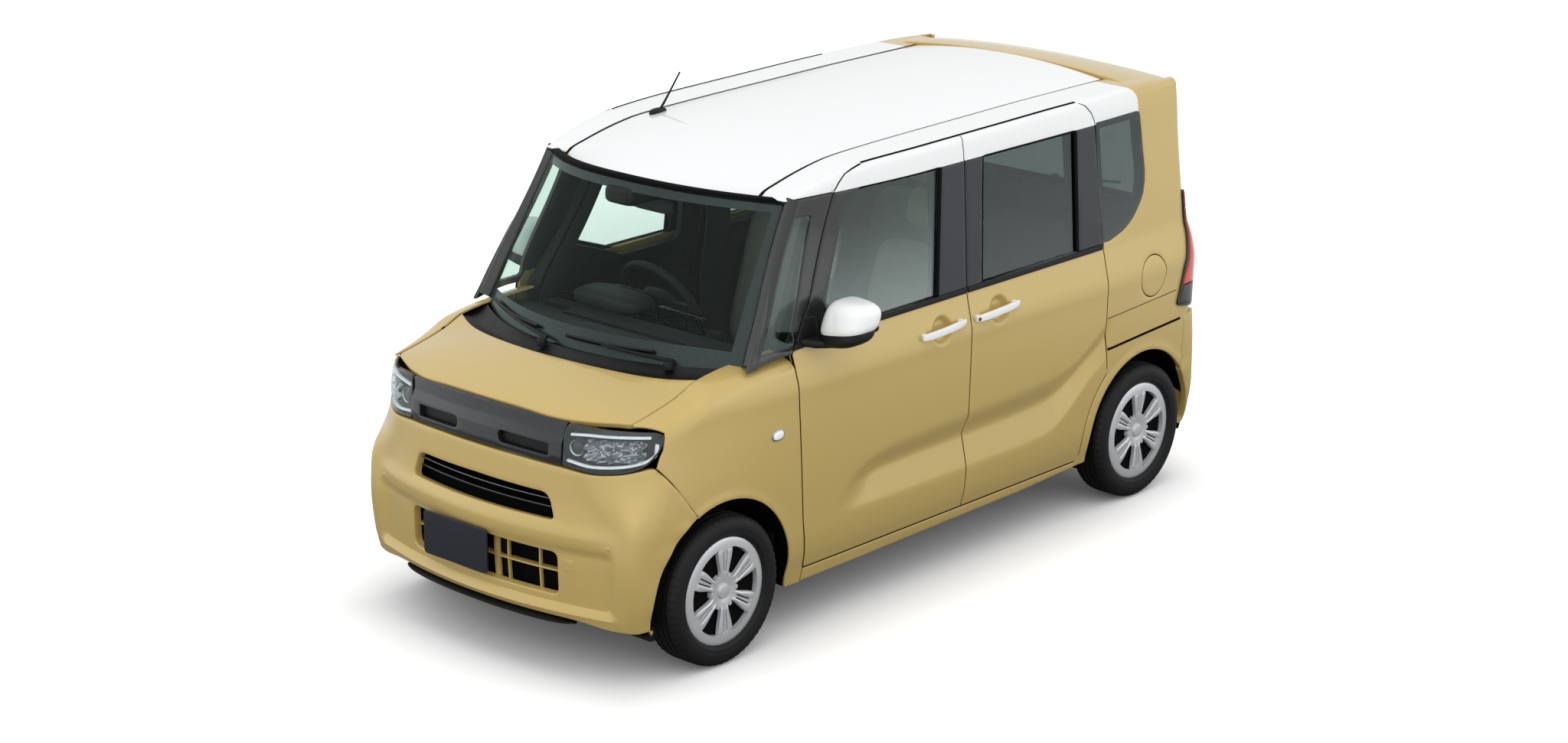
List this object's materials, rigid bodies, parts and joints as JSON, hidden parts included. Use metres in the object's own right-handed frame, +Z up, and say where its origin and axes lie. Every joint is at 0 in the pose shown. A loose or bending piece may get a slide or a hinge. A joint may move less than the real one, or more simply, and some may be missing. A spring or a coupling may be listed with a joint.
{
  "type": "tall kei car",
  "caption": "Tall, short two-tone city car with hinged front doors, bonnet, tailgate and fuel lid, sliding rear doors and steered front wheels.",
  "frame": {"origin": "on the ground, in the middle of the overall length and width", "axes": "+X forward along the car, +Y to the car's left, +Z up"},
  "size_m": [3.3908, 1.81, 1.7903],
  "materials": {
    "body_paint": "glossy solid paint, mustard beige",
    "roof_paint": "glossy pearl white paint",
    "black_trim": "grained unpainted black plastic",
    "gloss_black": "piano black",
    "clear_glass": "clear green tinted",
    "privacy_glass": "dark privacy tint",
    "lamp_clear": "clear lamp lens",
    "lamp_red": "red lamp lens",
    "tyre_rubber": "black rubber",
    "wheel_silver": "silver painted wheel cover",
    "chassis_black": "satin black underseal",
    "cast_metal": "as cast",
    "exhaust_steel": "dull steel",
    "cabin_plastic": "soft grained dark grey",
    "seat_cloth": "woven dark grey cloth"
  },
  "bodies": {
    "body": {"underbody": "chassis_black", "body_side_left": "body_paint", "body_side_right": "body_paint", "roof_panel": "roof_paint", "front_fender_left": "body_paint", "front_fender_right": "body_paint", "front_bumper": "body_paint", "lower_grille": "black_trim", "upper_grille": "gloss_black", "headlamps": "lamp_clear", "cowl_panel": "black_trim", "windscreen": "clear_glass", "fixed_side_glass": "clear_glass", "sliding_door_left": "body_paint", "sliding_door_right": "body_paint", "sliding_door_glass": "privacy_glass", "tail_lamps": "lamp_red", "rear_bumper": "body_paint", "dashboard": "cabin_plastic", "steering_column": "black_trim", "front_seats": "seat_cloth", "rear_seat": "seat_cloth", "engine_block": "cast_metal", "fuel_tank": "chassis_black", "exhaust": "exhaust_steel", "front_suspension": "chassis_black", "rear_axle_beam": "chassis_black", "wipers": "black_trim", "antenna": "black_trim"},
    "front_door_left": {"front_door_left": "body_paint", "front_door_glass_left": "clear_glass", "mirror_left": "roof_paint"},
    "front_door_right": {"front_door_right": "body_paint", "front_door_glass_right": "clear_glass", "mirror_right": "roof_paint"},
    "bonnet": {"bonnet": "body_paint"},
    "tailgate": {"tailgate": "body_paint", "tailgate_glass": "privacy_glass"},
    "fuel_lid": {"fuel_lid": "body_paint"},
    "steering_wheel": {"steering_wheel": "cabin_plastic"},
    "knuckle_left": {"knuckle_left": "cast_metal"},
    "knuckle_right": {"knuckle_right": "cast_metal"},
    "wheel_front_left": {"wheel_front_left": "wheel_silver", "tyre_front_left": "tyre_rubber"},
    "wheel_front_right": {"wheel_front_right": "wheel_silver", "tyre_front_right": "tyre_rubber"},
    "wheel_rear_left": {"wheel_rear_left": "wheel_silver", "tyre_rear_left": "tyre_rubber"},
    "wheel_rear_right": {"wheel_rear_right": "wheel_silver", "tyre_rear_right": "tyre_rubber"}
  },
  "joints": [
    {"name": "front_door_left_hinge", "type": "hinge", "parent": "body", "child": "front_door_left", "pos_m": [0.7915, 0.7375, 0.66], "axis": [0, 0, -1], "range_deg": [0, 75]},
    {"name": "front_door_right_hinge", "type": "hinge", "parent": "body", "child": "front_door_right", "pos_m": [0.7915, -0.7375, 0.66], "axis": [0, 0, 1], "range_deg": [0, 75]},
    {"name": "bonnet_hinge", "type": "hinge", "parent": "body", "child": "bonnet", "pos_m": [1.171, 0, 1.058], "axis": [0, -1, 0], "range_deg": [0, 50]},
    {"name": "tailgate_hinge", "type": "hinge", "parent": "body", "child": "tailgate", "pos_m": [-1.303, 0, 1.738], "axis": [0, 1, 0], "range_deg": [0, 80]},
    {"name": "fuel_lid_hinge", "type": "hinge", "parent": "body", "child": "fuel_lid", "pos_m": [-1.2705, 0.7375, 0.926], "axis": [0, 0, -1], "range_deg": [0, 90]},
    {"name": "steer_left", "type": "hinge", "parent": "body", "child": "knuckle_left", "pos_m": [1.15, 0.575, 0.2785], "axis": [0, 0, 1], "range_deg": [-35, 35]},
    {"name": "steer_right", "type": "hinge", "parent": "body", "child": "knuckle_right", "pos_m": [1.15, -0.575, 0.2785], "axis": [0, 0, 1], "range_deg": [-35, 35]},
    {"name": "steering_wheel_turn", "type": "hinge", "parent": "body", "child": "steering_wheel", "pos_m": [0.4, -0.32, 0.985], "axis": [-0.8829, 0, 0.4695], "range_deg": [-560, 560]},
    {"name": "wheel_front_left_spin", "type": "hinge", "parent": "knuckle_left", "child": "wheel_front_left", "pos_m": [1.15, 0.65, 0.2785], "axis": [0, 1, 0], "continuous": true},
    {"name": "wheel_front_right_spin", "type": "hinge", "parent": "knuckle_right", "child": "wheel_front_right", "pos_m": [1.15, -0.65, 0.2785], "axis": [0, 1, 0], "continuous": true},
    {"name": "wheel_rear_left_spin", "type": "hinge", "parent": "body", "child": "wheel_rear_left", "pos_m": [-1.31, 0.65, 0.2785], "axis": [0, 1, 0], "continuous": true},
    {"name": "wheel_rear_right_spin", "type": "hinge", "parent": "body", "child": "wheel_rear_right", "pos_m": [-1.31, -0.65, 0.2785], "axis": [0, 1, 0], "continuous": true}
  ],
  "couplings": [
    {"joint": "steer_right", "follows": "steer_left", "ratio": 1},
    {"joint": "steering_wheel_turn", "follows": "steer_left", "ratio": 16}
  ]
}
